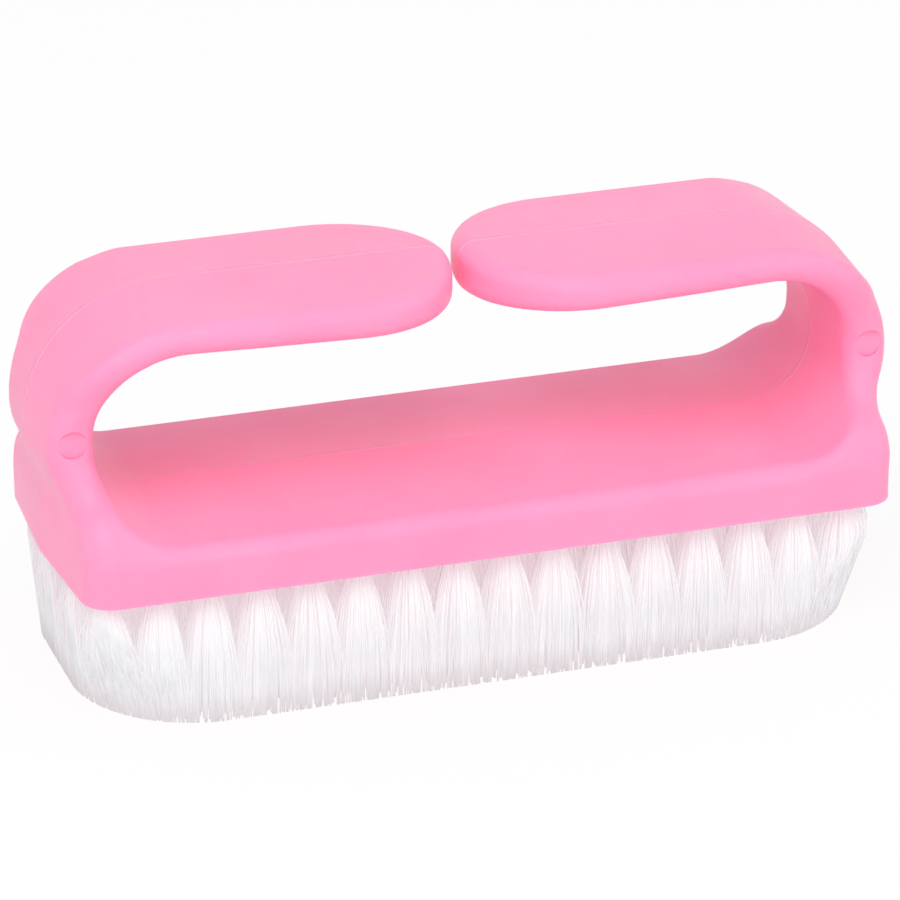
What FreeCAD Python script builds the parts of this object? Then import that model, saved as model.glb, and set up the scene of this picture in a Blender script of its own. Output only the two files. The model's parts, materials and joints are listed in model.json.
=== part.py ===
"""Nail brush: a moulded finger-loop handle with staggered nylon tufts on flat wire anchors.

Frame: millimetres, +X along the handle, +Y to its back, +Z up. The origin is the middle of the
trimmed bristle face that the brush stands on. The handle is one moulding, drawn out of a two-part
mould along Y, so its walls lean outwards from each side to the parting plane in the middle.
"""
import FreeCAD
import Part
import Sketcher
import math
import os
from FreeCAD import Vector

# Driving dimensions in millimetres and degrees. Handle heights count from the underside of the block.
SIZES = {
    "block_length": 96.2,
    "block_width": 36.0,
    "floor_height": 7.0,
    "front_wall_height": 4.0,
    "end_wall_height": 4.8,
    "waist_depth": 0.2,
    "waist_height": 8.0,
    "neck_width": 20.0,
    "neck_height": 16.2,
    "spread_height": 24.4,
    "floor_corner_radius": 7.5,
    "block_corner_radius": 3.6,
    "arm_reach": 99.0,
    "arm_width": 27.0,
    "arm_top_height": 30.65,
    "arm_root_thickness": 6.3,
    "arm_tip_thickness": 6.25,
    "arm_underside_slope": 1.5,
    "outer_bend_radius": 15.4,
    "inner_bend_radius": 9.2,
    "outer_edge_radius": 2.1,
    "inner_edge_radius": 2.0,
    "tip_gap": 1.2,
    "draft_angle": 3.5,
    "mark_diameter": 3.3,
    "mark_depth": 0.3,
    "mark_height": 16.45,
    "bristle_length": 15.5,
    "tuft_pitch": 5.72,
    "row_pitch": 4.95,
    "end_margin": 5.0,
    "side_margin": 3.1,
    "hole_diameter": 2.3,
    "hole_depth": 4.6,
    "tuft_clearance": 0.05,
    "tuft_spread": 5.4,
    "fan_height": 8.0,
    "anchor_thickness": 0.35,
    "anchor_height": 1.6,
    "anchor_bite": 0.2,
    "fold_height": 0.7,
    "trim_length": 91.4,
    "trim_width": 34.8,
    "trim_corner_radius": 14.5,
    "root_corner_radius": 1.5,
    "trim_angle": 3.0,
    "overrun": 3.0,
}
# Each row of tufts stands this share of the pitch to one side of its rank, in turn left and right.
STAGGER_SHARE = 0.25

START = 1
END = 2
CENTRE = 3
ORIGIN = (-1, 1)
UPRIGHT = Vector(0, 0, 1)

doc = FreeCAD.newDocument("nail_brush")
sheet = doc.addObject("Spreadsheet::Sheet", "Sizes")
for sheet_row, (alias, value) in enumerate(SIZES.items(), 1):
    sheet.set(f"A{sheet_row}", alias)
    sheet.set(f"B{sheet_row}", str(value))
    sheet.setAlias(f"B{sheet_row}", alias)
doc.recompute()


def size(alias):
    return float(sheet.get(alias))


# Drafting and sketching helpers

def origin_feature(body, role):
    return next(item for item in body.Origin.OriginFeatures if item.Role == role)


def new_sketch(body, name, role, offsets=None):
    """An empty sketch on one of the body's own planes, moved by formulas for x, y or z."""
    sketch = body.newObject("Sketcher::SketchObject", name)
    sketch.AttachmentSupport = [(origin_feature(body, role), "")]
    sketch.MapMode = "FlatFace"
    for axis, formula in (offsets or {}).items():
        sketch.setExpression(f"AttachmentOffset.Base.{axis}", formula)
    return sketch


def line(sketch, first, last):
    return sketch.addGeometry(Part.LineSegment(Vector(*first, 0), Vector(*last, 0)), False)


def arc(sketch, centre, radius, first_angle, last_angle):
    circle = Part.Circle(Vector(*centre, 0), UPRIGHT, radius)
    span = (math.radians(first_angle), math.radians(last_angle))
    return sketch.addGeometry(Part.ArcOfCircle(circle, *span), False)


def constrain(sketch, kind, *places):
    sketch.addConstraint(Sketcher.Constraint(kind, *places))


def bind(sketch, kind, places, value, formula):
    """A dimension that starts at its value and follows its formula on the sheet."""
    index = sketch.addConstraint(Sketcher.Constraint(kind, *places, value))
    sketch.setExpression(f"Constraints[{index}]", formula)


def outline(sketch, points):
    """A closed run of straight lines, its corners pinned by (value, formula) pairs."""
    corners = [(x[0], y[0]) for x, y in points]
    lines = [line(sketch, corner, corners[(number + 1) % len(corners)])
             for number, corner in enumerate(corners)]
    for number, (x, y) in enumerate(points):
        constrain(sketch, "Coincident", lines[number - 1], END, lines[number], START)
        bind(sketch, "DistanceX", (*ORIGIN, lines[number], START), *x)
        bind(sketch, "DistanceY", (*ORIGIN, lines[number], START), *y)
    return lines


def s_curve(rise_across, rise_up):
    """Radius and angle of two equal arcs that join two upright ends."""
    radius = (rise_across ** 2 + rise_up ** 2) / (4 * abs(rise_across))
    return radius, math.degrees(math.asin(rise_up / (2 * radius)))


# Handle: one front half, rounded along its rims, doubled at the parting plane and drilled for the tufts

DRAFT_RUN = "Sizes.block_width / 2 * tan(Sizes.draft_angle)"


def hoop_profile(body):
    """Outline of block and right arm where the front face would be; the draft widens it from there."""
    sketch = new_sketch(body, "HoopProfile", "XZ_Plane", {"z": "Sizes.block_width / 2"})
    run = size("block_width") / 2 * math.tan(math.radians(size("draft_angle")))
    edge = -size("overrun")
    end_x = size("block_length") / 2 - run
    end_z = size("end_wall_height")
    waist_x = end_x - size("waist_depth")
    waist_z = size("waist_height")
    bulge_x = size("arm_reach") / 2 - run
    top_z = size("arm_top_height") - run
    bend_radius = size("outer_bend_radius") - run
    bulge_z = top_z - bend_radius
    inner_x = size("arm_reach") / 2 - size("arm_root_thickness") + run
    tip_z = size("arm_top_height") - size("arm_tip_thickness") + run
    inner_radius = size("inner_bend_radius") + run
    slope = math.radians(size("arm_underside_slope"))
    inner_centre_x = inner_x - inner_radius
    rise = (inner_centre_x - edge) * math.tan(slope)
    inner_centre_z = tip_z + rise - inner_radius / math.cos(slope)
    under_x = inner_centre_x - inner_radius * math.sin(slope)
    under_z = inner_centre_z + inner_radius * math.cos(slope)
    floor_z = size("floor_height") - run
    corner_radius = size("floor_corner_radius") + run
    corner_x = inner_x - corner_radius
    corner_z = floor_z + corner_radius
    low_radius, low_angle = s_curve(size("waist_depth"), waist_z - end_z)
    high_radius, high_angle = s_curve(bulge_x - waist_x, bulge_z - waist_z)

    bottom = line(sketch, (edge, edge), (end_x, edge))
    end = line(sketch, (end_x, edge), (end_x, end_z))
    shoulder = arc(sketch, (end_x - low_radius, end_z), low_radius, 0, low_angle)
    low_waist = arc(sketch, (waist_x + low_radius, waist_z), low_radius, 180, 180 + low_angle)
    high_waist = arc(sketch, (waist_x + high_radius, waist_z), high_radius, 180 - high_angle, 180)
    bulge = arc(sketch, (bulge_x - high_radius, bulge_z), high_radius, -high_angle, 0)
    bend = arc(sketch, (bulge_x - bend_radius, bulge_z), bend_radius, 0, 90)
    top = line(sketch, (bulge_x - bend_radius, top_z), (edge, top_z))
    tip = line(sketch, (edge, top_z), (edge, tip_z))
    under = line(sketch, (edge, tip_z), (under_x, under_z))
    inner_bend = arc(sketch, (inner_centre_x, inner_centre_z), inner_radius, 0, 90 + math.degrees(slope))
    inner = line(sketch, (inner_x, inner_centre_z), (inner_x, corner_z))
    corner = arc(sketch, (corner_x, corner_z), corner_radius, 270, 360)
    floor = line(sketch, (corner_x, floor_z), (edge, floor_z))
    close = line(sketch, (edge, floor_z), (edge, edge))

    for joint in ((bottom, END, end, START), (top, END, tip, START), (tip, END, under, START),
                  (floor, END, close, START), (close, END, bottom, START)):
        constrain(sketch, "Coincident", *joint)
    for joint in ((end, END, shoulder, START), (shoulder, END, low_waist, END),
                  (low_waist, START, high_waist, END), (high_waist, START, bulge, START),
                  (bulge, END, bend, START), (bend, END, top, START), (under, END, inner_bend, END),
                  (inner_bend, START, inner, START), (inner, END, corner, END),
                  (corner, START, floor, START)):
        constrain(sketch, "Tangent", *joint)
    for level in (bottom, top, floor):
        constrain(sketch, "Horizontal", level)
    for upright in (end, tip, inner, close):
        constrain(sketch, "Vertical", upright)
    constrain(sketch, "Vertical", tip, START, close, END)
    constrain(sketch, "Equal", shoulder, low_waist)
    constrain(sketch, "Equal", high_waist, bulge)
    constrain(sketch, "Horizontal", low_waist, CENTRE, low_waist, START)
    constrain(sketch, "Horizontal", bulge, CENTRE, bulge, END)

    tip_formula = f"Sizes.arm_top_height - Sizes.arm_tip_thickness + {DRAFT_RUN}"
    inner_formula = f"Sizes.arm_reach / 2 - Sizes.arm_root_thickness + {DRAFT_RUN}"
    bind(sketch, "DistanceX", (*ORIGIN, bottom, START), edge, "-Sizes.overrun")
    bind(sketch, "DistanceY", (*ORIGIN, bottom, START), edge, "-Sizes.overrun")
    bind(sketch, "DistanceX", (*ORIGIN, end, END), end_x, f"Sizes.block_length / 2 - {DRAFT_RUN}")
    bind(sketch, "DistanceY", (*ORIGIN, end, END), end_z, "Sizes.end_wall_height")
    bind(sketch, "DistanceX", (low_waist, START, end, END), end_x - waist_x, "Sizes.waist_depth")
    bind(sketch, "DistanceY", (*ORIGIN, low_waist, START), waist_z, "Sizes.waist_height")
    bind(sketch, "DistanceX", (*ORIGIN, bulge, END), bulge_x, f"Sizes.arm_reach / 2 - {DRAFT_RUN}")
    bind(sketch, "Radius", (bend,), bend_radius, f"Sizes.outer_bend_radius - {DRAFT_RUN}")
    bind(sketch, "DistanceY", (*ORIGIN, top, START), top_z, f"Sizes.arm_top_height - {DRAFT_RUN}")
    bind(sketch, "DistanceY", (*ORIGIN, tip, END), tip_z, tip_formula)
    bind(sketch, "DistanceX", (*ORIGIN, inner, START), inner_x, inner_formula)
    bind(sketch, "Angle", (under,), slope, "Sizes.arm_underside_slope")
    bind(sketch, "Radius", (inner_bend,), inner_radius, f"Sizes.inner_bend_radius + {DRAFT_RUN}")
    bind(sketch, "Radius", (corner,), corner_radius, f"Sizes.floor_corner_radius + {DRAFT_RUN}")
    bind(sketch, "DistanceY", (*ORIGIN, floor, START), floor_z, f"Sizes.floor_height - {DRAFT_RUN}")
    return sketch


def flare_outline(body):
    """What is cut from the front half so that its face draws in to a neck and widens to the arms."""
    sketch = new_sketch(body, "FlareOutline", "YZ_Plane")
    block_y = -size("block_width") / 2
    neck_y = -size("neck_width") / 2
    arm_y = -size("arm_width") / 2
    low_z = size("front_wall_height")
    neck_z = size("neck_height")
    high_z = size("spread_height")
    clear_y = block_y - size("overrun")
    clear_z = size("arm_top_height") + size("overrun")
    radius, angle = s_curve(neck_y - block_y, neck_z - low_z)
    arm_radius, arm_angle = s_curve(neck_y - arm_y, high_z - neck_z)
    shoulder = arc(sketch, (block_y + radius, low_z), radius, 180 - angle, 180)
    hollow = arc(sketch, (neck_y - radius, neck_z), radius, -angle, 0)
    neck = arc(sketch, (neck_y - arm_radius, neck_z), arm_radius, 0, arm_angle)
    spread = arc(sketch, (arm_y + arm_radius, high_z), arm_radius, 180, 180 + arm_angle)
    side = line(sketch, (arm_y, high_z), (arm_y, clear_z))
    over = line(sketch, (arm_y, clear_z), (clear_y, clear_z))
    outside = line(sketch, (clear_y, clear_z), (clear_y, low_z))
    foot = line(sketch, (clear_y, low_z), (block_y, low_z))
    for joint in ((shoulder, START, hollow, START), (hollow, END, neck, START), (neck, END, spread, END),
                  (spread, START, side, START)):
        constrain(sketch, "Tangent", *joint)
    for joint in ((side, END, over, START), (over, END, outside, START),
                  (outside, END, foot, START), (foot, END, shoulder, END)):
        constrain(sketch, "Coincident", *joint)
    for upright in (side, outside):
        constrain(sketch, "Vertical", upright)
    for level in (over, foot):
        constrain(sketch, "Horizontal", level)
    constrain(sketch, "Equal", shoulder, hollow)
    constrain(sketch, "Equal", neck, spread)
    constrain(sketch, "Horizontal", shoulder, CENTRE, shoulder, END)
    constrain(sketch, "Horizontal", hollow, CENTRE, hollow, END)
    bind(sketch, "DistanceX", (*ORIGIN, foot, END), block_y, "-Sizes.block_width / 2")
    bind(sketch, "DistanceY", (*ORIGIN, foot, END), low_z, "Sizes.front_wall_height")
    bind(sketch, "DistanceX", (*ORIGIN, hollow, END), neck_y, "-Sizes.neck_width / 2")
    bind(sketch, "DistanceY", (*ORIGIN, hollow, END), neck_z, "Sizes.neck_height")
    bind(sketch, "DistanceX", (*ORIGIN, spread, START), arm_y, "-Sizes.arm_width / 2")
    bind(sketch, "DistanceY", (*ORIGIN, spread, START), high_z, "Sizes.spread_height")
    bind(sketch, "DistanceX", (outside, START, foot, END), block_y - clear_y, "Sizes.overrun")
    bind(sketch, "DistanceY", (*ORIGIN, side, END), clear_z, "Sizes.arm_top_height + Sizes.overrun")
    return sketch


def tip_outline(body):
    """What is cut, seen from above, so that the arm ends in a half round just short of the middle."""
    sketch = new_sketch(body, "TipOutline", "XY_Plane", {"z": "Sizes.floor_height"})
    radius = size("arm_width") / 2
    tip_x = size("tip_gap") / 2
    clear_x = -2 * size("overrun")
    clear_y = -size("block_width") / 2 - size("overrun")
    round_end = arc(sketch, (tip_x + radius, 0), radius, 180, 270)
    side = line(sketch, (tip_x + radius, -radius), (tip_x + radius, clear_y))
    front = line(sketch, (tip_x + radius, clear_y), (clear_x, clear_y))
    middle = line(sketch, (clear_x, clear_y), (clear_x, 0))
    back = line(sketch, (clear_x, 0), (tip_x, 0))
    constrain(sketch, "Coincident", round_end, END, side, START)
    for joint in ((side, END, front, START), (front, END, middle, START), (middle, END, back, START),
                  (back, END, round_end, START)):
        constrain(sketch, "Coincident", *joint)
    for upright in (side, middle):
        constrain(sketch, "Vertical", upright)
    for level in (front, back):
        constrain(sketch, "Horizontal", level)
    constrain(sketch, "Horizontal", round_end, CENTRE, round_end, START)
    constrain(sketch, "Vertical", round_end, CENTRE, round_end, END)
    bind(sketch, "DistanceX", (*ORIGIN, round_end, START), tip_x, "Sizes.tip_gap / 2")
    constrain(sketch, "PointOnObject", round_end, START, -1)
    bind(sketch, "Radius", (round_end,), radius, "Sizes.arm_width / 2")
    bind(sketch, "DistanceX", (*ORIGIN, middle, START), clear_x, "-2 * Sizes.overrun")
    bind(sketch, "DistanceY", (*ORIGIN, middle, START), clear_y, "-Sizes.block_width / 2 - Sizes.overrun")
    return sketch


def underside_outline(body):
    """What is cut below the block, because the draft leaves its underside sloping."""
    sketch = new_sketch(body, "UndersideOutline", "XZ_Plane")
    left = (-2 * size("overrun"), "-2 * Sizes.overrun")
    right = (size("block_length") / 2 + size("overrun"), "Sizes.block_length / 2 + Sizes.overrun")
    low = (-2 * size("overrun"), "-2 * Sizes.overrun")
    level = (0.0, "0")
    outline(sketch, [(left, level), (left, low), (right, low), (right, level)])
    return sketch


def cut_through(body, name, sketch, both_ways, reverse=False):
    """A pocket through everything, which has to take some material away."""
    before = body.Shape.Volume
    pocket = body.newObject("PartDesign::Pocket", name)
    pocket.Profile = sketch
    pocket.Type = "ThroughAll"
    if both_ways:
        pocket.SideType = "Symmetric"
    pocket.Reversed = reverse
    doc.recompute()
    if body.Shape.Volume >= before:
        raise RuntimeError(f"{name} cuts nothing")
    return pocket


def drafted_half():
    """The front half of the handle with sharp rims, from its outline, its draft and three cuts."""
    body = doc.addObject("PartDesign::Body", "FrontHalf")
    pad = body.newObject("PartDesign::Pad", "PlainHoop")
    pad.Profile = hoop_profile(body)
    pad.Reversed = True
    pad.setExpression("Length", "Sizes.block_width / 2")
    doc.recompute()
    front_y = -size("block_width") / 2
    middle_y = front_y / 2
    walls = []
    front = None
    for number, face in enumerate(pad.Shape.Faces, 1):
        centre = face.CenterOfMass
        if abs(centre.y - front_y) < abs(centre.y - middle_y):
            front = f"Face{number}"
        elif abs(centre.y - middle_y) < abs(centre.y) and min(centre.x, centre.z) > 0:
            walls.append(f"Face{number}")
    draft = body.newObject("PartDesign::Draft", "MouldDraft")
    draft.Base = (pad, walls)
    draft.NeutralPlane = (pad, [front])
    draft.Reversed = True
    draft.setExpression("Angle", "Sizes.draft_angle")
    doc.recompute()
    cut_through(body, "FlatUnderside", underside_outline(body), True)
    cut_through(body, "LeaningFront", flare_outline(body), True)
    cut_through(body, "RoundTip", tip_outline(body), False, True)
    mirror = body.newObject("PartDesign::Mirrored", "LeftArm")
    mirror.TransformMode = "Whole shape"
    mirror.MirrorPlane = (origin_feature(body, "YZ_Plane"), [""])
    body.Tip = mirror
    body.setExpression("Placement.Base.z", "Sizes.bristle_length")
    doc.recompute()
    return body


# An edge counts as sharp past this turn, a face as level with a plane within this share of the width,
# and a normal as sideways past this share of its length.
SHARP_ANGLE = math.radians(20)
FLUSH_SHARE = 0.001
SIDEWAYS_SHARE = 0.3
# Two rims share the wall between them, and neither may take more than this share of it.
RIM_SHARE = 0.47


def middle_of(edge):
    return edge.valueAt((edge.FirstParameter + edge.LastParameter) / 2)


def rim_edges(shape, around_opening):
    """Numbers of the sharp edges of a half handle, either round the finger opening or outside it."""
    flush = FLUSH_SHARE * size("block_width")
    underside = size("bristle_length")
    opening_z = underside + (size("floor_height") + size("arm_top_height")) / 2
    chosen = []
    for number, edge in enumerate(shape.Edges, 1):
        point = middle_of(edge)
        faces = shape.ancestorsOfType(edge, Part.Face)
        if len(faces) != 2 or point.z < underside + flush or point.y > -flush:
            continue
        normals = [face.normalAt(*face.Surface.parameter(point)) for face in faces]
        if normals[0].getAngle(normals[1]) < SHARP_ANGLE:
            continue
        inwards = Vector(-point.x, 0, opening_z - point.z)
        faces_opening = any(abs(normal.y) < SIDEWAYS_SHARE and normal.dot(inwards) > 0
                            for normal in normals)
        if faces_opening == around_opening:
            chosen.append(number)
    return chosen


def rounded(base, name, around_opening, radius_at):
    """Rounds one set of rims of a half handle, with a radius that may change along an edge."""
    edges = []
    for number in rim_edges(base.Shape, around_opening):
        first, last = (vertex.Point for vertex in base.Shape.Edges[number - 1].Vertexes)
        edges.append((number, radius_at(first.z), radius_at(last.z)))
    fillet = doc.addObject("Part::Fillet", name)
    fillet.Base = base
    fillet.Edges = edges
    doc.recompute()
    return fillet


def rounded_half(half):
    """Outer rims grow from the arms' radius to the block's corners; inner rims stay the same."""
    rim_wall = size("arm_root_thickness") - size("arm_width") * math.tan(math.radians(size("draft_angle")))
    outer_radius = min(size("outer_edge_radius"), RIM_SHARE * rim_wall)
    inner_radius = min(size("inner_edge_radius"), RIM_SHARE * rim_wall)
    low_z = size("bristle_length") + size("front_wall_height")
    high_z = size("bristle_length") + size("neck_height")

    def outer_at(z):
        share = min(1, max(0, (high_z - z) / (high_z - low_z)))
        return outer_radius + (size("block_corner_radius") - outer_radius) * share

    outer = rounded(half, "OuterRims", False, outer_at)
    return rounded(outer, "InnerRims", True, lambda z: inner_radius)


def doubled(half):
    """The whole blank: the front half and its image behind the parting plane."""
    back = doc.addObject("Part::Mirroring", "BackHalf")
    back.Source = half
    back.Normal = Vector(0, 1, 0)
    blank = doc.addObject("Part::Fuse", "HandleBlank")
    blank.Base = half
    blank.Tool = back
    blank.Refine = True
    doc.recompute()
    return blank


# Layout of the tufts: ranks across the handle, each a zigzag of rows

rank_count = 1 + int((size("block_length") - 2 * size("end_margin")) / size("tuft_pitch"))
row_count = 1 + int((size("block_width") - 2 * size("side_margin")) / size("row_pitch"))


def tuft_x(rank, row):
    side = STAGGER_SHARE if row % 2 else -STAGGER_SHARE
    return f"Sizes.tuft_pitch * {rank - (rank_count - 1) / 2 + side}"


def tuft_y(row):
    return f"Sizes.row_pitch * {row - (row_count - 1) / 2}"


# The rows that stand to the left of their rank, and those that stand to the right
zigzags = [range(side, row_count, 2) for side in (0, 1)]

ANCHOR_Z = "Sizes.bristle_length + Sizes.hole_depth - Sizes.fold_height - Sizes.anchor_height"


def round_sketch(body, name, role, offsets, alias):
    sketch = new_sketch(body, name, role, offsets)
    circle = sketch.addGeometry(Part.Circle(Vector(), UPRIGHT, size(alias) / 2), False)
    constrain(sketch, "Coincident", circle, CENTRE, *ORIGIN)
    bind(sketch, "Diameter", (circle,), size(alias), f"Sizes.{alias}")
    return sketch


def anchor_sketch(body, name, rank, row):
    """Plan of one wire anchor, which bites into the hole's wall at both ends."""
    sketch = new_sketch(body, name, "XY_Plane", {"x": tuft_x(rank, row), "y": tuft_y(row), "z": ANCHOR_Z})
    half_x = (size("anchor_thickness") / 2, "Sizes.anchor_thickness / 2")
    half_y = (size("hole_diameter") / 2 + size("anchor_bite"), "Sizes.hole_diameter / 2 + Sizes.anchor_bite")
    left, front = ((-value, f"-({formula})") for value, formula in (half_x, half_y))
    outline(sketch, [(left, front), (half_x, front), (half_x, half_y), (left, half_y)])
    return sketch


def repeated(body, name, features, role, count, spacing):
    """Copies of some features along one of the body's own axes."""
    pattern = body.newObject("PartDesign::LinearPattern", name)
    pattern.Originals = features
    pattern.Direction = (origin_feature(body, role), [""])
    pattern.Mode = "Spacing"
    pattern.setExpression("Offset", spacing)
    pattern.Occurrences = count
    body.Tip = pattern
    return pattern


def upward(body, kind, name, sketch, length):
    """A pad or pocket that runs up from its sketch."""
    feature = body.newObject(f"PartDesign::{kind}", name)
    feature.Profile = sketch
    feature.Reversed = kind == "Pocket"
    feature.setExpression("Length", length)
    return feature


def make_handle():
    """The moulding: the blank with its tuft holes, the bites of the anchors and two ejector marks."""
    body = doc.addObject("PartDesign::Body", "Handle")
    body.BaseFeature = doubled(rounded_half(drafted_half()))
    doc.recompute()
    for row in range(row_count):
        place = {"x": tuft_x(0, row), "y": tuft_y(row), "z": "Sizes.bristle_length"}
        hole_sketch = round_sketch(body, f"HoleCircle{row}", "XY_Plane", place, "hole_diameter")
        hole = upward(body, "Pocket", f"TuftHole{row}", hole_sketch, "Sizes.hole_depth")
        repeated(body, f"TuftHoles{row}", [hole], "X_Axis", rank_count, "Sizes.tuft_pitch")
        bite_sketch = anchor_sketch(body, f"BiteOutline{row}", 0, row)
        bite = upward(body, "Pocket", f"AnchorBite{row}", bite_sketch, "Sizes.anchor_height")
        repeated(body, f"AnchorBites{row}", [bite], "X_Axis", rank_count, "Sizes.tuft_pitch")
    doc.recompute()
    for side in (-1, 1):
        place = {"x": f"{side} * (Sizes.arm_reach - Sizes.arm_root_thickness) / 2",
                 "y": "Sizes.bristle_length + Sizes.mark_height",
                 "z": "Sizes.neck_width / 2 - Sizes.mark_depth"}
        name = "RightMark" if side > 0 else "LeftMark"
        mark_sketch = round_sketch(body, f"{name}Circle", "XZ_Plane", place, "mark_diameter")
        doc.recompute()
        cut_through(body, name, mark_sketch, False, True)
    body.Label = "handle_body"
    return body


# Tufts: bundles of nylon, folded over their anchors, which fan out below the block until they meet

def tuft_section(body, name, rank, row):
    """Half section of one tuft: its face, its fanned part and its root in the hole."""
    place = {"x": tuft_x(rank, row), "z": f"-({tuft_y(row)})"}
    sketch = new_sketch(body, name, "XZ_Plane", place)
    axis = (0.0, "0")
    face_z = (0.0, "0")
    face_x = (size("tuft_spread") / 2, "Sizes.tuft_spread / 2")
    met_z = (size("bristle_length") - size("fan_height"), "Sizes.bristle_length - Sizes.fan_height")
    root_x = (size("hole_diameter") / 2 - size("tuft_clearance"),
              "Sizes.hole_diameter / 2 - Sizes.tuft_clearance")
    root_z = (size("bristle_length"), "Sizes.bristle_length")
    fold_z = (size("bristle_length") + size("hole_depth") - size("tuft_clearance"),
              "Sizes.bristle_length + Sizes.hole_depth - Sizes.tuft_clearance")
    outline(sketch, [(axis, face_z), (face_x, face_z), (face_x, met_z),
                     (root_x, root_z), (root_x, fold_z), (axis, fold_z)])
    return sketch


def trim_envelope():
    """The space that the bristles are trimmed to: drawn in towards their face, most at the corners."""
    body = doc.addObject("PartDesign::Body", "TrimEnvelope")
    sketch = new_sketch(body, "TrimOutline", "XY_Plane")
    right = (size("trim_length") / 2, "Sizes.trim_length / 2")
    back = (size("trim_width") / 2, "Sizes.trim_width / 2")
    left, front = ((-value, f"-{formula}") for value, formula in (right, back))
    outline(sketch, [(left, front), (right, front), (right, back), (left, back)])
    pad = body.newObject("PartDesign::Pad", "TrimSpace")
    pad.Profile = sketch
    pad.setExpression("Length", "Sizes.bristle_length + Sizes.hole_depth")
    pad.setExpression("TaperAngle", "Sizes.trim_angle")
    doc.recompute()
    corners = []
    for number, edge in enumerate(body.Shape.Edges, 1):
        first, last = (vertex.Point for vertex in edge.Vertexes)
        if abs(last.z - first.z) > size("bristle_length"):
            radii = [size("trim_corner_radius"), size("root_corner_radius")]
            corners.append((number, *(radii if first.z < last.z else reversed(radii))))
    fillet = doc.addObject("Part::Fillet", "TrimCorners")
    fillet.Base = body
    fillet.Edges = corners
    doc.recompute()
    return fillet


def make_tufts(rank, envelope):
    """One rank of tufts, slit for their anchors and trimmed."""
    body = doc.addObject("PartDesign::Body", f"TuftRank{rank}")
    for rows in zigzags:
        first = rows[0]
        tuft = body.newObject("PartDesign::Revolution", f"Tuft{rank}_{first}")
        tuft.Profile = tuft_section(body, f"TuftSection{rank}_{first}", rank, first)
        tuft.ReferenceAxis = (tuft.Profile[0], ["V_Axis"])
        slit_sketch = anchor_sketch(body, f"SlitOutline{rank}_{first}", rank, first)
        slit = upward(body, "Pocket", f"Slit{rank}_{first}", slit_sketch, "Sizes.anchor_height")
        repeated(body, f"Tufts{rank}_{first}", [tuft, slit], "Y_Axis", len(rows), "2 * Sizes.row_pitch")
    trimmed = doc.addObject("Part::Common", f"TrimmedRank{rank}")
    trimmed.Base = body
    trimmed.Tool = envelope
    trimmed.Label = f"tuft_rank_{rank + 1:02d}"
    return trimmed


def make_anchors(rank):
    """The flat wire anchors of one rank."""
    body = doc.addObject("PartDesign::Body", f"AnchorRank{rank}")
    for rows in zigzags:
        first = rows[0]
        sketch = anchor_sketch(body, f"AnchorOutline{rank}_{first}", rank, first)
        anchor = upward(body, "Pad", f"Anchor{rank}_{first}", sketch, "Sizes.anchor_height")
        repeated(body, f"Anchors{rank}_{first}", [anchor], "Y_Axis", len(rows), "2 * Sizes.row_pitch")
    body.Label = f"anchor_rank_{rank + 1:02d}"
    return body


handle = make_handle()
envelope = trim_envelope()
tuft_ranks = [make_tufts(rank, envelope) for rank in range(rank_count)]
anchor_ranks = [make_anchors(rank) for rank in range(rank_count)]
doc.recompute()

# Every object has to be sound before anything is written

for item in doc.Objects:
    if "Invalid" in item.State or "Error" in item.State:
        raise RuntimeError(f"{item.Label} failed: {item.getStatusString()}")
os.makedirs("parts", exist_ok=True)
sub_parts = [handle, *tuft_ranks, *anchor_ranks]
for sub_part in sub_parts:
    if sub_part.Shape.isNull() or not sub_part.Shape.isValid():
        raise RuntimeError(f"{sub_part.Label} has no sound shape")
for sub_part in sub_parts:
    sub_part.Shape.exportStep(f"parts/{sub_part.Label}.step")
    print(sub_part.Label, len(sub_part.Shape.Solids), "solids", round(sub_part.Shape.Volume, 1), "mm3")
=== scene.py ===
import bpy
import json
import math
import random
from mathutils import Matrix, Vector

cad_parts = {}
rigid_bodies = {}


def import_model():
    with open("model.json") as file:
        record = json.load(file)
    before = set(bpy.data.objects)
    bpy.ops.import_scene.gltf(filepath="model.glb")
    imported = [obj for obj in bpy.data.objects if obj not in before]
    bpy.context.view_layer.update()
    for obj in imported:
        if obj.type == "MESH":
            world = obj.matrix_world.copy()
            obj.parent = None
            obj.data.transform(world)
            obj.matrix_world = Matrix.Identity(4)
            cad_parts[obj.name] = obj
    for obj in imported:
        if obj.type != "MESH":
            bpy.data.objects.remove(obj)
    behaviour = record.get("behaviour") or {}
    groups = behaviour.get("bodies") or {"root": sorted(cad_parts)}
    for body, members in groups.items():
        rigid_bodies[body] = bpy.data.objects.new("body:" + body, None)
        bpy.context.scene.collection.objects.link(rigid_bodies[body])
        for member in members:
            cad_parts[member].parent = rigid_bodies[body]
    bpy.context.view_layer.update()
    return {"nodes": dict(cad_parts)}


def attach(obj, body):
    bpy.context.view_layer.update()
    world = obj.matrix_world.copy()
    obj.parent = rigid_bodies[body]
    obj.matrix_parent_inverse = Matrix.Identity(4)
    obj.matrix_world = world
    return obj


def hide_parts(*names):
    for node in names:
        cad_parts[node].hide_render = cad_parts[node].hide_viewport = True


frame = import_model()
scene = bpy.context.scene

# Handle
# One moulding in pink polypropylene, drawn from a two-part mould that parts along its middle plane.
# Block, arms and finger opening are one piece, satin from the mould, with a fine line at the parting.
weld_distance = 0.000002
neck_half_width = 0.010
arm_half_width = 0.0135
smooth_below = math.radians(24)


def deselect_everything():
    for thing in scene.objects:
        thing.select_set(False)


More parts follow.
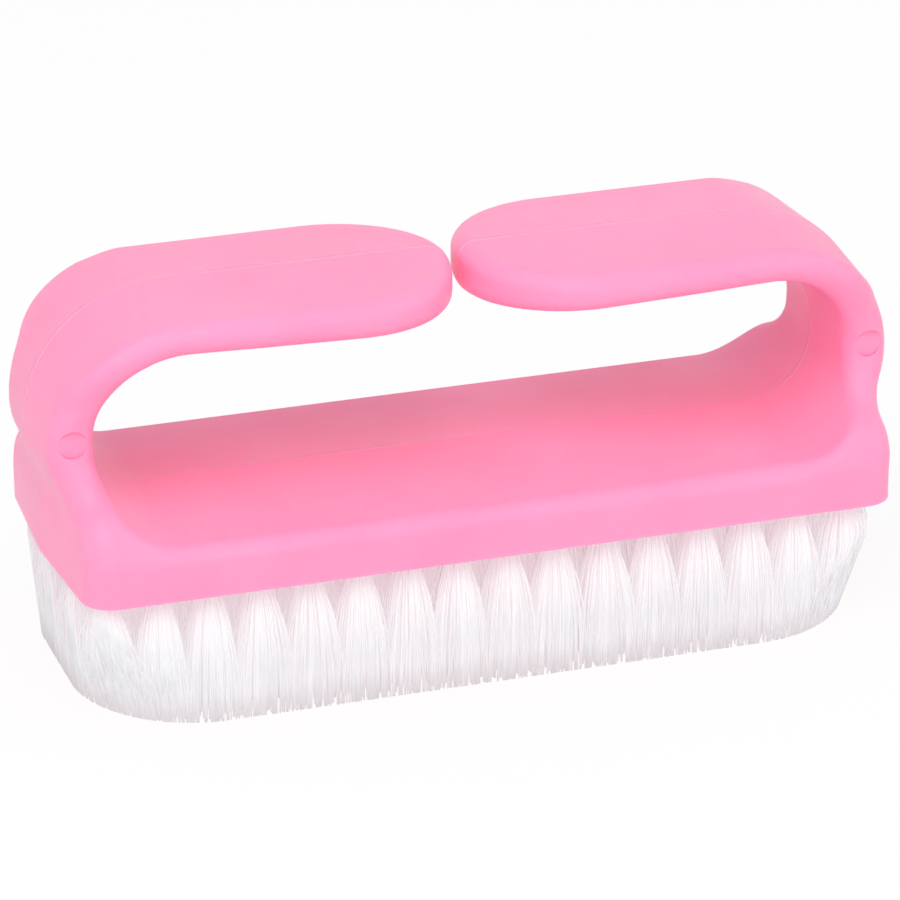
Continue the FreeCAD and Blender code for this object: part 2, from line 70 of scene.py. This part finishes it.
handle_node = frame["nodes"]["handle_body"]
handle = handle_node.copy()
handle.data = handle_node.data.copy()
handle.name = "pink_handle"
scene.collection.objects.link(handle)
deselect_everything()
handle.select_set(True)
bpy.context.view_layer.objects.active = handle
bpy.ops.object.mode_set(mode="EDIT")
bpy.ops.mesh.select_all(action="SELECT")
bpy.ops.mesh.customdata_custom_splitnormals_clear()
bpy.ops.mesh.remove_doubles(threshold=weld_distance)
bpy.ops.object.mode_set(mode="OBJECT")


def half_width(z, low, high):
    """Half the width of the hoop, which widens by two arcs from its neck at low to the arms at high."""
    if z <= low:
        return neck_half_width
    if z >= high:
        return arm_half_width
    widening = arm_half_width - neck_half_width
    radius = (widening ** 2 + (high - low) ** 2) / (4 * widening)
    if z < (low + high) / 2:
        return neck_half_width + radius - math.sqrt(radius ** 2 - (z - low) ** 2)
    return arm_half_width - radius + math.sqrt(radius ** 2 - (high - z) ** 2)


def eased(share):
    """A share from 0 to 1 with a soft start and end."""
    share = min(1.0, max(0.0, share))
    return share * share * (3 - 2 * share)


# The roundings of the rims meet where the bends begin and dent the sides there: the dent is filled
dent_x = 0.0344
dent_half_length = 0.0053
dent_share = 0.075
dent_foot_z = 0.0385
dent_rise = 0.003
for point in handle.data.vertices:
    apart = min(1.0, abs(abs(point.co.x) - dent_x) / dent_half_length)
    dent = dent_share * (1 + math.cos(math.pi * apart)) / 2
    point.co.y *= 1 + dent * eased((point.co.z - dent_foot_z) / dent_rise)

# The bends keep their narrow neck further up than the plain solid does, and less so behind
neck_z = 0.0317
solid_arm_z = 0.0399
bend_arm_z = 0.0448
bend_start_x = 0.016
bend_run = 0.026
share_behind = 0.4
for point in handle.data.vertices:
    share = eased((abs(point.co.x) - bend_start_x) / bend_run)
    if point.co.y >= 0:
        share *= share_behind
    ratio = half_width(point.co.z, neck_z, bend_arm_z) / half_width(point.co.z, neck_z, solid_arm_z)
    point.co.y *= 1 + (ratio - 1) * share

# All is smooth but the ridge at the parting plane and the edges of holes and marks
bpy.ops.object.shade_smooth_by_angle(angle=smooth_below)
for edge in handle.data.edges:
    if all(abs(handle.data.vertices[corner].co.y) < weld_distance for corner in edge.vertices):
        edge.use_edge_sharp = True
even_shading = handle.modifiers.new("even_shading", "WEIGHTED_NORMAL")
even_shading.keep_sharp = True
bpy.ops.object.modifier_apply(modifier=even_shading.name)


def new_material(name):
    material = bpy.data.materials.new(name)
    material.use_nodes = True
    return material, material.node_tree.nodes, material.node_tree.links


def feed(links, socket, value):
    """Links a socket to another one, or sets it to a plain value."""
    if isinstance(value, bpy.types.NodeSocket):
        links.new(value, socket)
    else:
        socket.default_value = value


def grain(nodes, links, vector, scale, detail):
    """Noise over the given coordinates."""
    texture = nodes.new("ShaderNodeTexNoise")
    texture.inputs["Scale"].default_value = scale
    texture.inputs["Detail"].default_value = detail
    links.new(vector, texture.inputs["Vector"])
    return texture.outputs["Fac"]


def remap(nodes, links, source, low, high, start, end):
    """Start where the source is at low, end where it is at high, and even steps between."""
    span = nodes.new("ShaderNodeMapRange")
    span.inputs["From Min"].default_value = low
    span.inputs["From Max"].default_value = high
    span.inputs["To Min"].default_value = start
    span.inputs["To Max"].default_value = end
    links.new(source, span.inputs["Value"])
    return span.outputs["Result"]


def reckon(nodes, links, kind, first, second):
    """One step of arithmetic with two values."""
    step = nodes.new("ShaderNodeMath")
    step.operation = kind
    feed(links, step.inputs[0], first)
    feed(links, step.inputs[1], second)
    return step.outputs["Value"]


def two_tones(nodes, links, source, low, low_colour, high, high_colour):
    """A ramp between two colours."""
    ramp = nodes.new("ShaderNodeValToRGB")
    first, last = ramp.color_ramp.elements
    first.position = low
    first.color = low_colour
    last.position = high
    last.color = high_colour
    links.new(source, ramp.inputs["Fac"])
    return ramp.outputs["Color"]


def blend(nodes, links, share, first, second):
    """A colour between two, by this share of the second."""
    mix = nodes.new("ShaderNodeMix")
    mix.data_type = "RGBA"
    factor, first_colour, second_colour = mix.inputs[0], mix.inputs[6], mix.inputs[7]
    feed(links, factor, share)
    feed(links, first_colour, first)
    feed(links, second_colour, second)
    return mix.outputs[2]


pink_plastic, nodes, links = new_material("pink_polypropylene")
shader = nodes["Principled BSDF"]
shader.inputs["Subsurface Weight"].default_value = 0.6
shader.inputs["Subsurface Radius"].default_value = (1.0, 0.42, 0.55)
shader.inputs["Subsurface Scale"].default_value = 0.0012
shader.inputs["IOR"].default_value = 1.49
shader.inputs["Specular IOR Level"].default_value = 0.28
place = nodes.new("ShaderNodeTexCoord").outputs["Object"]
axes = nodes.new("ShaderNodeSeparateXYZ")
links.new(place, axes.inputs["Vector"])

# Melt flow leaves the pink a little uneven over a finger's width
flow = grain(nodes, links, place, 55.0, 2.0)
pinks = two_tones(nodes, links, flow, 0.3, (0.95, 0.280, 0.470, 1), 0.7, (0.965, 0.308, 0.503, 1))

# The parting line: a hair of flash in the middle plane, which comes and goes along the moulding; its
# ridge is real relief, and its paler pink is a painted highlight
off_middle = reckon(nodes, links, "ABSOLUTE", axes.outputs["Y"], 0.0)
flash = remap(nodes, links, off_middle, 0.00008, 0.00045, 1.0, 0.0)
wander = grain(nodes, links, place, 70.0, 1.0)
flash = reckon(nodes, links, "MULTIPLY", flash, remap(nodes, links, wander, 0.35, 0.6, 0.15, 1.0))
# Painted highlight: the line's pink is made paler, as where the ridge would catch the light
flash_painted_highlight = reckon(nodes, links, "MULTIPLY", flash, 0.3)
links.new(blend(nodes, links, flash_painted_highlight, pinks, (1.0, 0.48, 0.64, 1)), shader.inputs["Base Color"])

# The mould's satin surface: a fine grain, broad unevenness that varies the sheen, and the flash on top
fine = grain(nodes, links, place, 2600.0, 3.0)
broad = grain(nodes, links, place, 120.0, 2.0)
links.new(remap(nodes, links, broad, 0.3, 0.7, 0.36, 0.46), shader.inputs["Roughness"])
height = reckon(nodes, links, "MULTIPLY", fine, 0.12)
height = reckon(nodes, links, "ADD", height, reckon(nodes, links, "MULTIPLY", broad, 0.5))
height = reckon(nodes, links, "ADD", height, reckon(nodes, links, "MULTIPLY", flash, 5.0))
relief = nodes.new("ShaderNodeBump")
relief.inputs["Strength"].default_value = 0.35
relief.inputs["Distance"].default_value = 0.0001
links.new(height, relief.inputs["Height"])
links.new(relief.outputs["Normal"], shader.inputs["Normal"])
handle.data.materials.clear()
handle.data.materials.append(pink_plastic)
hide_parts("handle_body")
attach(handle, "root")

# Tufts
# Bundles of white nylon filament, folded over a wire anchor and driven into blind holes of the block.
# They fan out below it until they meet, and are trimmed flat, with the corners of the field drawn in.
underside = 0.0155
tuft_pitch = 0.00572
row_pitch = 0.00495
row_stagger = 0.25
rank_count = 16
row_count = 7
ends_per_tuft = 150
bundle_radius = 0.00102
root_depth = 0.0012
bristle_radius = 0.00011
bristle_sides = 5
bristle_cuts = (0.14, 0.32, 0.55, 0.78)

# The field's trimmed shape
face_half_length = 0.0457
face_half_width = 0.0174
front_corner = 0.0145
back_corner = 0.008
root_corner = 0.0045
taper = math.tan(math.radians(3))

# How the bristles spread, and how far they stray from that
fan_power = 2.6
edge_press = 0.0014
most_lean = 0.0018
trim_halvings = 18
golden_angle = 2.39996
turn_stray = 0.25
tip_stray = 0.00018
trim_stray = 0.00004
bow_stray = 0.00012
first_seed = 500

deselect_everything()
bpy.ops.mesh.primitive_cylinder_add(vertices=bristle_sides, radius=bristle_radius, depth=1.0,
                                    end_fill_type="TRIFAN", location=(0, 0, -0.5))
bristle = bpy.context.active_object
bristle.name = "one_bristle"
bpy.ops.object.transform_apply(location=True)
bpy.ops.object.mode_set(mode="EDIT")
for cut in bristle_cuts:
    bpy.ops.mesh.select_all(action="SELECT")
    bpy.ops.mesh.bisect(plane_co=(0, 0, -cut), plane_no=(0, 0, 1))
bpy.ops.object.mode_set(mode="OBJECT")
bristle_points = [tuple(point.co) for point in bristle.data.vertices]
bristle_faces = [tuple(face.vertices) for face in bristle.data.polygons]
bpy.data.objects.remove(bristle)


def past_corner(x, y, depth):
    """A point's distances past the centre of the trimmed shape's corner, and that corner's radius."""
    face_corner = front_corner if y < 0 else back_corner
    corner = root_corner + (face_corner - root_corner) * depth / underside
    grow = taper * (underside - depth)
    return abs(x) - (face_half_length + grow - corner), abs(y) - (face_half_width + grow - corner), corner


def outside_by(x, y, depth):
    """How far a bristle stands out of the trimmed shape at its depth below the block."""
    past_x, past_y, corner = past_corner(x, y, depth)
    if past_x <= 0 or past_y <= 0:
        return max(past_x, past_y) - corner + bristle_radius
    return math.hypot(past_x, past_y) - corner + bristle_radius


def pressed_in(x, y, depth):
    """Where a bristle lies that would stand out of the trimmed shape: pressed back to its surface."""
    outside = outside_by(x, y, depth)
    if outside <= 0:
        return x, y
    past_x, past_y, _ = past_corner(x, y, depth)
    outward = Vector((math.copysign(max(0, past_x), x), math.copysign(max(0, past_y), y))).normalized()
    return x - outward.x * outside, y - outward.y * outside


def bristle_place(root, tip, depth):
    """Where a bristle's middle line is: quick to fan out below the block, then nearly straight."""
    share = max(0.0, depth / underside)
    spread = 1 - (1 - min(1.0, share)) ** fan_power
    return root[0] + (tip[0] - root[0]) * spread, root[1] + (tip[1] - root[1]) * spread


def tip_reach(middle, pitch, edge, side):
    """How far tips spread to a side: half a pitch, or past the field's edge from an outer tuft."""
    if middle * side > 0 and abs(middle) + pitch > edge:
        return max(pitch / 2, edge + edge_press - abs(middle))
    return pitch / 2


def trimmed_depth(root, tip, full):
    """The depth at which the trimmer cuts a bristle that can't be pressed in further."""
    if outside_by(*tip, full) <= most_lean:
        return full
    low = 0.0
    high = full
    for _ in range(trim_halvings):
        middle = (low + high) / 2
        if outside_by(*bristle_place(root, tip, middle), middle) > most_lean:
            high = middle
        else:
            low = middle
    return low


def mix_shaders(nodes, links, share, first, second):
    """Two shaders, by this share of the second."""
    mix = nodes.new("ShaderNodeMixShader")
    feed(links, mix.inputs["Fac"], share)
    links.new(first, mix.inputs[1])
    links.new(second, mix.inputs[2])
    return mix.outputs["Shader"]


# Clear nylon: a little darker and lighter from strand to strand, and painted lighter near the roots to
# lift the shade under the block
nylon, nodes, links = new_material("white_nylon")
shader = nodes["Principled BSDF"]
shader.inputs["Roughness"].default_value = 0.34
shader.inputs["IOR"].default_value = 1.53
place = nodes.new("ShaderNodeTexCoord").outputs["Object"]
axes = nodes.new("ShaderNodeSeparateXYZ")
links.new(place, axes.inputs["Vector"])
drawn_out = nodes.new("ShaderNodeMapping")
drawn_out.inputs["Scale"].default_value = (1.0, 1.0, 0.03)
links.new(place, drawn_out.inputs["Vector"])
strands = grain(nodes, links, drawn_out.outputs["Vector"], 1400.0, 1.0)
whites = two_tones(nodes, links, strands, 0.3, (0.785, 0.82, 0.828, 1), 0.7, (0.88, 0.915, 0.923, 1))
# Painted light: both colours are made lighter towards the roots, where the block and the tufts around
# keep the light off
root_painted_light = remap(nodes, links, axes.outputs["Z"], 0.006, 0.0145, 0.0, 1.0)
links.new(blend(nodes, links, root_painted_light, whites, (0.945, 0.968, 0.972, 1)), shader.inputs["Base Color"])
let_through = nodes.new("ShaderNodeBsdfTranslucent")
links.new(blend(nodes, links, root_painted_light, (0.885, 0.925, 0.928, 1), (0.945, 0.965, 0.97, 1)),
          let_through.inputs["Color"])
links.new(mix_shaders(nodes, links, 0.45, shader.outputs["BSDF"], let_through.outputs["BSDF"]),
          nodes["Material Output"].inputs["Surface"])

for rank in range(rank_count):
    luck = random.Random(first_seed + rank)
    points = []
    faces = []
    for row in range(row_count):
        stagger = row_stagger if row % 2 else -row_stagger
        middle_x = tuft_pitch * (rank - (rank_count - 1) / 2 + stagger)
        middle_y = row_pitch * (row - (row_count - 1) / 2)
        for number in range(ends_per_tuft):
            reach = bundle_radius * math.sqrt((number + 0.5) / ends_per_tuft)
            turn = number * golden_angle + luck.uniform(-turn_stray, turn_stray)
            toward_x = math.cos(turn)
            toward_y = math.sin(turn)
            root = (middle_x + reach * toward_x, middle_y + reach * toward_y)
            fill = reach / bundle_radius / max(abs(toward_x), abs(toward_y))
            reach_x = tip_reach(middle_x, tuft_pitch, face_half_length, toward_x)
            reach_y = tip_reach(middle_y, row_pitch, face_half_width, toward_y)
            tip = (middle_x + reach_x * fill * toward_x + luck.gauss(0, tip_stray),
                   middle_y + reach_y * fill * toward_y + luck.gauss(0, tip_stray))
            full = underside - luck.uniform(0.0, trim_stray)
            depth = trimmed_depth(root, tip, full)
            bow = luck.gauss(0, bow_stray)
            first = len(points)
            for x, y, z in bristle_points:
                below = -root_depth + (depth + root_depth) * -z
                at_x, at_y = bristle_place(root, tip, below)
                sway = bow * math.sin(math.pi * min(1, max(0, below / underside)))
                at_x, at_y = pressed_in(at_x + sway, at_y + sway, below)
                points.append((at_x + x, at_y + y, underside - below))
            faces += [tuple(first + corner for corner in face) for face in bristle_faces]
    mesh = bpy.data.meshes.new(f"bristles_{rank + 1:02d}")
    mesh.from_pydata(points, [], faces)
    mesh.polygons.foreach_set("use_smooth", [len(face) == 4 for face in faces])
    mesh.materials.append(nylon)
    bristles = bpy.data.objects.new(f"bristles_{rank + 1:02d}", mesh)
    scene.collection.objects.link(bristles)

    # Clear filaments keep little light from each other: they cast no shadow and block no bounced light
    bristles.visible_shadow = False
    bristles.visible_diffuse = False
    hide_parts(f"tuft_rank_{rank + 1:02d}")
    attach(bristles, "root")

# Anchors
# Short lengths of flat drawn steel wire, one across the fold of each tuft, pressed into the hole's wall.
# They sit deep in the block, out of sight between the filaments.
wire, nodes, links = new_material("flat_wire")
shader = nodes["Principled BSDF"]
shader.inputs["Metallic"].default_value = 1.0
drawn = grain(nodes, links, nodes.new("ShaderNodeTexCoord").outputs["Object"], 5200.0, 2.0)
links.new(remap(nodes, links, drawn, 0.3, 0.7, 0.28, 0.42), shader.inputs["Roughness"])
greys = two_tones(nodes, links, drawn, 0.0, (0.5, 0.49, 0.47, 1), 1.0, (0.68, 0.67, 0.65, 1))
links.new(greys, shader.inputs["Base Color"])
for rank in range(rank_count):
    anchors = frame["nodes"][f"anchor_rank_{rank + 1:02d}"]
    anchors.data.materials.clear()
    anchors.data.materials.append(wire)

# Floor
# A plain white table top that the brush stands on. It runs out to a white background:
# the camera and what gloss shows see it mostly as plain white, and it is lit as usual otherwise.
floor_size = 6.0
floor_z = -0.00002
floor_seen_white = 0.86
deselect_everything()
bpy.ops.mesh.primitive_plane_add(size=floor_size, location=(0, 0, floor_z))
floor = bpy.context.active_object
floor.name = "table_top"
white_table, nodes, links = new_material("white_table")
shader = nodes["Principled BSDF"]
shader.inputs["Base Color"].default_value = (0.9, 0.9, 0.9, 1)
shader.inputs["Roughness"].default_value = 0.7
shader.inputs["Specular IOR Level"].default_value = 0.1


def seen_directly(nodes, links):
    """One for rays of the camera, of gloss and through clear things, nought for all others."""
    sight = nodes.new("ShaderNodeLightPath")
    seen = reckon(nodes, links, "MAXIMUM", sight.outputs["Is Camera Ray"], sight.outputs["Is Glossy Ray"])
    return reckon(nodes, links, "MAXIMUM", seen, sight.outputs["Is Transmission Ray"])


white = nodes.new("ShaderNodeEmission")
white.inputs["Strength"].default_value = 1.0
share = reckon(nodes, links, "MULTIPLY", seen_directly(nodes, links), floor_seen_white)
links.new(mix_shaders(nodes, links, share, shader.outputs["BSDF"], white.outputs["Emission"]),
          nodes["Material Output"].inputs["Surface"])
floor.data.materials.append(white_table)

# Light
# A bright even room, a wide soft lamp above the front left, and weaker ones at the right and in front.
lamp_aim = Vector((0, 0, 0.02))
world = bpy.data.worlds.new("white_room")
world.use_nodes = True
scene.world = world
nodes = world.node_tree.nodes
links = world.node_tree.links
room = nodes["Background"]
room.inputs["Color"].default_value = (1, 1, 1, 1)
room.inputs["Strength"].default_value = 0.66
backdrop = nodes.new("ShaderNodeBackground")
backdrop.inputs["Color"].default_value = (1, 1, 1, 1)
backdrop.inputs["Strength"].default_value = 1.0
links.new(mix_shaders(nodes, links, seen_directly(nodes, links), room.outputs["Background"],
                      backdrop.outputs["Background"]), nodes["World Output"].inputs["Surface"])

for name, spot, width, power in (("soft_lamp", (-0.35, -0.45, 0.75), 0.7, 4.6),
                                 ("side_lamp", (0.7, -0.25, 0.45), 0.6, 1.35),
                                 ("front_lamp", (-0.15, -0.85, 0.07), 0.8, 2.8)):
    lamp = bpy.data.lights.new(name, "AREA")
    lamp.shape = "SQUARE"
    lamp.size = width
    lamp.energy = power
    lamp_object = bpy.data.objects.new(name, lamp)
    lamp_object.location = spot
    lamp_object.rotation_euler = (lamp_aim - Vector(spot)).to_track_quat("-Z", "Y").to_euler()
    scene.collection.objects.link(lamp_object)

# Camera
# The photograph's view: from the front left, a little above, with a long lens.
turn = math.radians(18.29)
tilt = math.radians(24.01)
distance = 0.6
aim = Vector((0, 0, underside))
ahead = Vector((math.sin(turn) * math.cos(tilt), math.cos(turn) * math.cos(tilt), -math.sin(tilt)))
lens = bpy.data.cameras.new("photo_view")
lens.sensor_width = 36.0
lens.lens = 211.58
lens.shift_x = -0.0016
lens.shift_y = 0.0492
lens.clip_start = 0.01
camera = bpy.data.objects.new("photo_view", lens)
camera.location = aim - ahead * distance
camera.rotation_euler = ahead.to_track_quat("-Z", "Y").to_euler()
scene.collection.objects.link(camera)
scene.camera = camera

# Light bounces often between table and block and inside the opening
scene.cycles.max_bounces = 32
scene.cycles.diffuse_bounces = 24
scene.view_settings.view_transform = "Standard"
